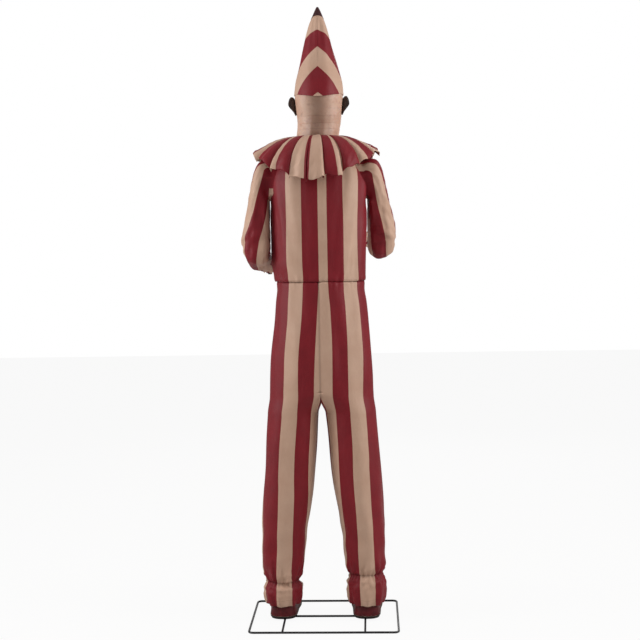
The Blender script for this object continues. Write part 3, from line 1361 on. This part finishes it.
# Control box
def make_control_box():
    back = -SPINE_RADIUS - FIT
    front = back - BOX_DEPTH
    half = BOX_WIDTH / 2
    top = BOX_Z + BOX_HEIGHT
    housing = block("control_box_housing", (-half, front, BOX_Z), (half, back, top), box_plastic)
    hollow = block("box_hollow", (-half + BOX_WALL, front - 0.01, BOX_Z + BOX_WALL),
                   (half - BOX_WALL, back - BOX_WALL, top - BOX_WALL), box_plastic)
    inlet = rod("inlet_hole", (half * 0.5, back - 0.026, BOX_Z - 0.01),
                (half * 0.5, back - 0.026, BOX_Z + 0.01), 0.0045, box_plastic)
    cut(housing, [hollow, inlet])
    inlet_sleeve = turned("power_inlet", [(0.0042, 0), (0.0042, BOX_WALL + FIT), (0.0060, BOX_WALL + FIT),
                                          (0.0060, 0.014), (0.0028, 0.014), (0.0028, 0)],
                          zinc_steel, Matrix.Translation((half * 0.5, back - 0.026, BOX_Z)), 12)
    smooth(inlet_sleeve)
    face = front - FIT
    cover = block("control_box_cover", (-half, face - BOX_WALL, BOX_Z), (half, face, top), box_plastic)
    slot_x, slot_z = SWITCH_SLOT
    cutters = [block("switch_slot", (SWITCH_X - slot_x / 2, face - 0.02, SWITCH_Z - slot_z / 2),
                     (SWITCH_X + slot_x / 2, face + 0.02, SWITCH_Z + slot_z / 2), box_plastic),
               rod("button_hole", (BUTTON_X, face - 0.02, SWITCH_Z), (BUTTON_X, face + 0.02, SWITCH_Z),
                   BUTTON_RADIUS + 2 * FIT, box_plastic, 16),
               rod("knob_hole", (KNOB_X, face - 0.02, SWITCH_Z), (KNOB_X, face + 0.02, SWITCH_Z),
                   0.0035, box_plastic)]
    for row in range(4):
        width = SPEAKER_RADIUS * 0.8 * math.cos(math.asin((row - 1.5) / 2.2))
        z = SPEAKER_Z + (row - 1.5) * 0.014
        cutters.append(block("grille_slot", (-width, face - 0.02, z - 0.002), (width, face + 0.02, z + 0.002),
                             box_plastic))
    cut(cover, cutters)
    speaker = turned("speaker", [(SPEAKER_RADIUS * 0.35, -0.022), (SPEAKER_RADIUS * 0.35, -0.012),
                                 (SPEAKER_RADIUS, -0.004), (SPEAKER_RADIUS, 0)], frame_plastic,
                     frame_along((0, face + FIT, SPEAKER_Z), (0, face - 1, SPEAKER_Z)), 16, False)
    smooth(speaker)
    board_y = face + 0.024
    board = block("circuit_board", (-half + BOX_WALL + FIT, board_y, BOX_Z + 0.090),
                  (half - BOX_WALL - FIT, board_y + 0.0016, top - BOX_WALL - FIT), board_green)
    housings = block("switch_body", (SWITCH_X - 0.011, face + 0.0045, SWITCH_Z - 0.006),
                     (SWITCH_X + 0.011, board_y + 0.0005, SWITCH_Z + 0.006), board_green)
    button_body = block("button_body", (BUTTON_X - 0.007, face + 0.0085, SWITCH_Z - 0.007),
                        (BUTTON_X + 0.007, board_y + 0.0005, SWITCH_Z + 0.007), board_green)
    knob_body = block("knob_body", (KNOB_X - 0.008, face + 0.006, SWITCH_Z - 0.008),
                      (KNOB_X + 0.008, board_y + 0.0005, SWITCH_Z + 0.008), board_green)
    join_solid(board, [housings, button_body, knob_body])
    start = SWITCH_X - SWITCH_TRAVEL / 2
    slider = block("mode_slider", (start - 0.004, face - BOX_WALL - 0.004, SWITCH_Z - 0.0025),
                   (start + 0.004, face + 0.0042, SWITCH_Z + 0.0025), button_plastic)
    hang_on([slider], joint_empty("mode_slider_axis", (SWITCH_X, face, SWITCH_Z)))
    button = turned("test_button", [(BUTTON_RADIUS + 0.0015, -0.0052), (BUTTON_RADIUS + 0.0015, -0.0035 + FIT),
                                    (BUTTON_RADIUS, -0.0035 + FIT), (BUTTON_RADIUS, BOX_WALL + 0.003),
                                    (BUTTON_RADIUS * 0.9, BOX_WALL + 0.0038)], button_plastic,
                    frame_along((BUTTON_X, face, SWITCH_Z), (BUTTON_X, face - 1, SWITCH_Z)), 16, False)
    hang_on([smooth(button)], joint_empty("test_button_axis", (BUTTON_X, face, SWITCH_Z)))
    knob = turned("volume_knob", [(0.003, -0.0057), (0.003, BOX_WALL + FIT), (KNOB_RADIUS, BOX_WALL + FIT),
                                  (KNOB_RADIUS, BOX_WALL + 0.011), (KNOB_RADIUS * 0.88, BOX_WALL + 0.012)],
                  frame_plastic, frame_along((KNOB_X, face, SWITCH_Z), (KNOB_X, face - 1, SWITCH_Z)), 16, False)
    hang_on([knob], joint_empty("volume_knob_axis", (KNOB_X, face, SWITCH_Z)))


for shoe_side, shoe_word in ((1, "left"), (-1, "right")):
    make_shoe(shoe_word, shoe_side)
make_chest_form()
make_control_box()
